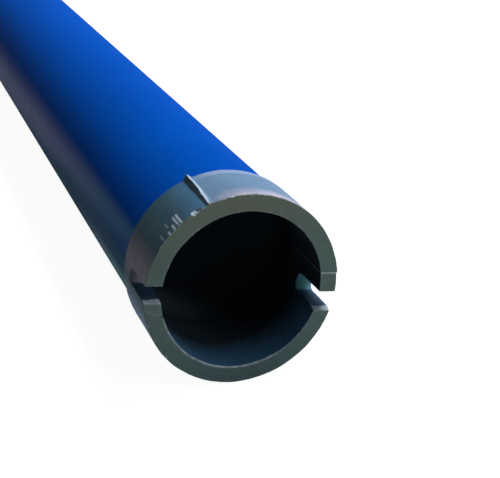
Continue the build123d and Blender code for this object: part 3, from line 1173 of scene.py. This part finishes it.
def joint_slab(line, crown):
    """Braze in one joint of the crown: a thin slab between the two half rings. A point is
    P(depth, reach, across): the joint's outer point moved along the joint and across it. Its
    front edges are drawn in a little, as the metal shrinks back."""
    outer, inner = np.array(line)
    along = (inner - outer) / np.hypot(*(inner - outer))
    normal = np.array([-along[1], along[0]])
    reach = spread([0, 0.3 * MM, crown.wall - 0.3 * MM, crown.wall], [0.05 * MM, 0.2 * MM, 0.05 * MM])
    depth = spread([0.03 * MM, 0.5 * MM, crown.depth + 0.05 * MM], [0.06 * MM, 0.3 * MM])
    across = np.linspace(-1, 1, 5) * crown.joint_film / 2
    rim = CROWN_RADIUS - 0.06 * MM
    start = np.array(turned_about(rim, 0, line_angle(line, rim)))
    shortened = 0.97 * reach

    def block(d, r, n):
        d, r, n = np.broadcast_arrays(d[:, None, None], r[:, None], n)
        x, y = (start[i] + along[i] * r + normal[i] * n for i in (0, 1))
        drawn_in = 0.04 * MM * (n / across[-1]) ** 2 * (d < 0.2 * MM)
        return on_bit(*turned_about(x, y, crown.turn), d + drawn_in)

    return six_sides(block, depth, shortened, across)


class CORE_BIT_OT_braze(Operator):
    """Build the silver braze in the crown's joints and behind the crown"""

    bl_idname = "core_bit.braze"
    bl_label = "Build Silver Braze"

    def execute(self, context):
        settings = context.scene.core_bit
        crown, braze = settings.crown, settings.braze
        right, left = (joint_slab(line, crown) for line in joint_lines(crown, 0))
        skins = [braze_ring(crown, braze, settings.tube), right, left]
        # How dark each piece of braze is made: the ring, the right joint, the left joint.
        darkening = (0.3, 0.7, 1.0)
        tarnish = np.concatenate([np.full(len(skin[0]), d) for skin, d in zip(skins, darkening)])
        points, faces = joined([(corners, facing_out(corners, quads)) for corners, quads in skins])
        masks = {"tarnish": tarnish}
        material = braze_material(braze)
        piece = skin_object("silver_braze_metal", "silver_braze", points, faces, material, masks)
        return {"FINISHED"}


# ---- Tube and weld ----


def painted_sheen_streak(turn, depth):
    """How strong the painted reflection along the tube is at an angle and a depth: a streak that is
    faint and narrow at the crown and gets stronger, wider and lower along the tube, and a patch under
    it by the crown."""
    run = np.clip((depth - TUBE_START) / (100 * MM), 0, 2.1)
    top = radians(149)
    middle = radians(158) + radians(11.5) * run
    bottom = radians(173) + radians(14) * run + radians(25) * np.maximum(run - 0.7, 0)
    streak = eased((turn - top) / (middle - top)) * eased((bottom - turn) / (bottom - middle))
    streak = streak * (0.33 + 0.67 * np.minimum(run, 1))
    patch = arc(turn, 182, 194, 206, 222) * eased((75 * MM - depth) / (40 * MM))
    return np.maximum(streak, 0.9 * patch)


class CORE_BIT_OT_tube(Operator):
    """Build the painted tube"""

    bl_idname = "core_bit.tube"
    bl_label = "Build Tube"

    def execute(self, context):
        tube = context.scene.core_bit.tube
        bore = TUBE_RADIUS - tube.wall
        bevelled = [(TUBE_END - tube.bevel, TUBE_RADIUS), (TUBE_END, TUBE_RADIUS - tube.bevel)]
        corners = [(TUBE_START, bore), (TUBE_START, TUBE_RADIUS), *bevelled, (TUBE_END, bore)]
        depth, radius = soft_corners(corners, 0.12 * MM, 5 * MM)
        turn = np.linspace(0, FULL_TURN, tube.columns, endpoint=False)
        drawn = np.sin(2 * turn[:, None] + depth / (90 * MM))
        drawn = drawn + 0.5 * np.sin(5 * turn[:, None] - depth / (31 * MM))
        points, faces = turned_skin(depth, radius + tube.waviness * (drawn - 1.5), turn)
        painted = eased((radius - bore - tube.wall / 2) / (0.6 * MM) + 0.5)
        # Painted reflection on the enamel: a pale streak over a teal film along the left side.
        dusty = tube.dust_amount * painted_sheen_streak(turn[:, None], depth)
        filmed = arc(turn[:, None], 162, 178, 195, 235)
        masks = {"painted": painted, "dusty": dusty, "filmed": filmed}
        masks = {name: np.broadcast_to(mask, dusty.shape).ravel() for name, mask in masks.items()}
        material = tube_material(tube)
        piece = skin_object("core_tube_painted", "core_tube", points, faces, material, masks)
        return {"FINISHED"}


class CORE_BIT_OT_weld(Operator):
    """Build the painted weld bead between the tube and the coupling"""

    bl_idname = "core_bit.weld"
    bl_label = "Build Weld"

    def execute(self, context):
        """The bead's top is a sine arch over t from the tube's toe to the collar's, and its
        ripples are a saw-tooth round the ring whose front lags behind at both toes."""
        settings = context.scene.core_bit
        weld, tube, coupling = settings.weld, settings.tube, settings.coupling
        root = (TUBE_END, TUBE_RADIUS - tube.bevel)
        toe = (TUBE_END - tube.bevel, TUBE_RADIUS)
        far = (TUBE_END + coupling.collar_radius - root[1], coupling.collar_radius)
        columns = 14 * weld.ripples
        turn = np.linspace(0, FULL_TURN, columns, endpoint=False)[:, None]
        t = np.linspace(0, 1, 22)[None, :]
        arch = np.sin(pi * t)
        lag = 0.9 * (2 * t - 1) ** 2
        tooth = (turn * weld.ripples / FULL_TURN + lag) % 1
        ripple = weld.ripple * arch * (tooth**2 * eased((1 - tooth) / 0.25) * 2 - 0.6)
        depth = between(toe[0], far[0], t) + 0.12 * MM * arch * ring_noise(turn, (5, 11, 23), 2.0)
        rise = weld.top_radius - (toe[1] + far[1]) / 2
        radius = between(toe[1], far[1], t) + rise * arch + ripple
        under = np.linspace(0, 1, 5)[1:-1]
        hidden = [
            np.concatenate([between(start, deepest, under), [deepest], between(deepest, end, under)])
            for start, deepest, end in zip(far, root, toe)
        ]
        depth, radius = (
            np.hstack([seen, np.broadcast_to(below, (columns, len(below)))])
            for seen, below in zip((depth, radius), hidden)
        )
        points, faces = turned_skin(depth, radius, turn[:, 0])
        material = enamel_material(tube, "Painted weld")[0]
        piece = skin_object("coupling_weld_bead", "coupling_weld", points, faces, material)
        return {"FINISHED"}


# ---- Spindle coupling ----


def hexagon_radius(turn, across_flats):
    """Radius of a hexagon whose corners lie at 0 degrees and every 60: half the width across
    the flats over the cosine of the angle from the nearest flat's middle."""
    from_flat = np.abs((turn % radians(60)) - radians(30))
    return across_flats / 2 / np.cos(from_flat)


FLANK_SLOPE = 0.5774  # tangent of 30 degrees


def thread_height(turn, depth, coupling):
    """Depth of the right-hand thread: a groove with flanks 60 degrees apart, where the turn
    adds one pitch to the depth each time round."""
    pitch = coupling.thread_pitch
    phase = (depth / pitch + turn / FULL_TURN) % 1
    flank = coupling.thread_depth * FLANK_SLOPE
    from_root = np.abs(phase - 0.5) * pitch
    root_flat = pitch / 16
    return coupling.thread_depth * np.clip((root_flat + flank - from_root) / flank, 0, 1)


class CORE_BIT_OT_coupling(Operator):
    """Build the spindle coupling with its spigot, collar, hexagon and threaded socket"""

    bl_idname = "core_bit.coupling"
    bl_label = "Build Coupling"

    def execute(self, context):
        """A side of the profile is its start, as (depth, radius), its steps and what it is part
        of. The hexagon cuts off what stands out past it, and the thread what it is cut into."""
        settings = context.scene.core_bit
        coupling, tube = settings.coupling, settings.tube
        spigot = TUBE_RADIUS - tube.wall - 0.05 * MM
        root = TUBE_RADIUS - tube.bevel
        collar = coupling.collar_radius
        hex_start = TUBE_END + coupling.collar_length
        cone = HEX_CORNER_RADIUS - collar
        chamfer = coupling.rear_chamfer
        socket = COUPLING_END - coupling.socket_depth
        relief = socket + coupling.relief_length
        mouth = COUPLING_END - (coupling.mouth_radius - coupling.thread_minor)
        minor = coupling.thread_minor

        sides = [
            ((COUPLING_START, coupling.water_bore), 6, "plain"),
            ((COUPLING_START, spigot - 1 * MM), 3, "plain"),
            ((COUPLING_START + 1 * MM, spigot), 6, "plain"),
            ((TUBE_END, spigot), 2, "plain"),
            ((TUBE_END, root), 3, "plain"),
            ((TUBE_END + collar - root, collar), 6, "plain"),
            ((hex_start, collar), 26, "hexagon"),
            ((hex_start + cone, HEX_CORNER_RADIUS), 16, "hexagon"),
            ((COUPLING_END - chamfer / 2, HEX_CORNER_RADIUS), 18, "hexagon"),
            ((COUPLING_END, HEX_CORNER_RADIUS - chamfer), 6, "hexagon"),
            ((COUPLING_END, coupling.mouth_radius), 14, "thread"),
            ((mouth, minor), 150, "thread"),
            ((relief, minor), 8, "thread"),
            ((relief, coupling.relief_radius), 4, "plain"),
            ((socket, coupling.relief_radius), 6, "plain"),
            ((socket, coupling.water_bore), 5, "plain"),
        ]
        starts, steps, kinds = zip(*sides)
        shares = [np.linspace(0, 1, n, endpoint=False)[:, None] for n in steps]
        ends = starts[1:] + starts[:1]
        stretches = [between(np.array(a), np.array(b), t) for a, b, t in zip(starts, ends, shares)]
        depth, radius = np.concatenate(stretches).T
        kinds = np.repeat(kinds, steps)

        sector = spread(
            [0, radians(2.4), radians(3.6), radians(56.4), radians(57.6), radians(60)],
            np.radians([0.6, 0.3, 1.4, 0.3, 0.6]),
        )[:-1]
        turn = np.concatenate([sector + radians(60) * k for k in range(6)])[:, None]
        grid_depth = np.broadcast_to(depth, (len(turn), len(depth)))
        grid_radius = np.broadcast_to(radius, grid_depth.shape)
        flat = hexagon_radius(turn, coupling.across_flats)
        soft = 0.1 * MM
        worn = soft * np.exp(-np.abs(grid_radius - flat) / soft) * 0.5
        grid_radius = np.where(kinds == "hexagon", np.minimum(grid_radius, flat) - worn, grid_radius)
        threaded = np.maximum(grid_radius, minor + thread_height(turn, grid_depth, coupling))
        grid_radius = np.where(kinds == "thread", threaded, grid_radius)
        points, faces = turned_skin(grid_depth, grid_radius, turn[:, 0])
        material = coupling_material(coupling)
        piece = skin_object("spindle_coupling_turned", "spindle_coupling", points, faces, material)
        return {"FINISHED"}


# ---- Stage ----


def seen_directly(tree):
    """1 for camera, glossy and transmission rays, and 0 for the rays that light the object."""
    rays = add_node(tree, "ShaderNodeLightPath").outputs
    first = maths(tree, "MAXIMUM", rays["Is Camera Ray"], rays["Is Glossy Ray"])
    return maths(tree, "MAXIMUM", first, rays["Is Transmission Ray"])


class CORE_BIT_OT_stage(Operator):
    """Set up the floor, the soft lights, the white surroundings and the camera"""

    bl_idname = "core_bit.stage"
    bl_label = "Build Stage"

    def execute(self, context):
        scene, stage = context.scene, context.scene.core_bit.stage
        scene.view_settings.view_transform = "Standard"
        self.lay_floor(stage)
        self.surround(scene, stage)
        for name in ("key", "fill"):
            self.hang_lamp(name, stage)
        camera = bpy.data.cameras.new("Camera")
        camera.lens = stage.lens
        camera.sensor_width = 36
        camera.clip_start = 10 * MM
        scene.camera = new_object("Camera", camera)
        scene.camera.location = stage.camera_place
        scene.camera.rotation_euler = (stage.camera_pitch, 0, stage.camera_heading)
        return {"FINISHED"}

    def lay_floor(self, stage):
        """A wide pale floor under the bit, which keeps its shadow and shows a little whiter
        than it is lit."""
        half = stage.floor_width / 2
        corners = [(-half, -half, 0), (half, -half, 0), (half, half, 0), (-half, half, 0)]
        mesh = bpy.data.meshes.new("Floor")
        mesh.from_pydata(corners, [], [(0, 1, 2, 3)])
        floor = new_object("Floor", mesh)
        material = bpy.data.materials.new("Pale floor")
        material.use_nodes = True
        tree = material.node_tree
        tree.nodes.remove(tree.nodes["Principled BSDF"])
        lift = times(tree, seen_directly(tree), stage.floor_lift)
        paper = add_node(tree, "ShaderNodeBsdfDiffuse", {"Color": shaded(WHITE, stage.floor)})
        glow = add_node(tree, "ShaderNodeEmission", {"Color": shaded(WHITE), "Strength": lift})
        both = add_node(tree, "ShaderNodeAddShader", {0: paper.outputs[0], 1: glow.outputs[0]})
        set_inputs(tree, tree.nodes["Material Output"], {"Surface": both.outputs[0]})
        mesh.materials.append(material)

    def surround(self, scene, stage):
        """White for what looks at it, dimmer for what it lights."""
        world = bpy.data.worlds.new("Surroundings")
        scene.world = world
        world.use_nodes = True
        tree = world.node_tree
        strength = stretch(tree, seen_directly(tree), 0.0, 1.0, stage.sky, 1.0)
        inputs = {"Color": shaded(WHITE), "Strength": strength}
        set_inputs(tree, tree.nodes["Background"], inputs)

    def hang_lamp(self, name, stage):
        """A square soft light that stands off from the middle of the bit's front half and
        faces it: tilted by the angle of its direction from the vertical, then turned."""
        direction, distance, size, power = (
            getattr(stage, f"{name}_{value}") for value in ("bearing", "distance", "size", "power")
        )
        lamp = bpy.data.lights.new(f"{name.capitalize()} light", "AREA")
        lamp.size = size
        lamp.energy = power
        stand = new_object(lamp.name, lamp)
        x, y, z = np.array(direction) / np.linalg.norm(direction)
        stand.location = np.array([0, FACE_Y / 2, AXIS_Z]) + np.array([x, y, z]) * distance
        stand.rotation_euler = (np.arctan2(np.hypot(x, y), z), 0, np.arctan2(x, -y))


# ---- Panel and running ----

PIECES = (
    CORE_BIT_OT_crown, CORE_BIT_OT_braze, CORE_BIT_OT_tube, CORE_BIT_OT_weld, CORE_BIT_OT_coupling,
    CORE_BIT_OT_stage,
)


class CORE_BIT_PT_panel(Panel):
    """Lists the pieces of the core bit"""

    bl_label = "Core Bit"
    bl_idname = "CORE_BIT_PT_panel"
    bl_space_type = "VIEW_3D"
    bl_region_type = "UI"
    bl_category = "Core Bit"

    def draw(self, context):
        for piece in PIECES:
            self.layout.operator(piece.bl_idname)


CLASSES = (
    CrownSettings, BrazeSettings, TubeSettings, WeldSettings, CouplingSettings, StageSettings,
    CoreBitSettings, *PIECES, CORE_BIT_PT_panel,
)


def register():
    for cls in CLASSES:
        bpy.utils.register_class(cls)
    bpy.types.Scene.core_bit = PointerProperty(type=CoreBitSettings)


def unregister():
    del bpy.types.Scene.core_bit
    for cls in reversed(CLASSES):
        bpy.utils.unregister_class(cls)


def main():
    register()
    bpy.ops.core_bit.crown()
    bpy.ops.core_bit.braze()
    bpy.ops.core_bit.tube()
    bpy.ops.core_bit.weld()
    bpy.ops.core_bit.coupling()
    bpy.ops.core_bit.stage()


if __name__ == "__main__":
    main()
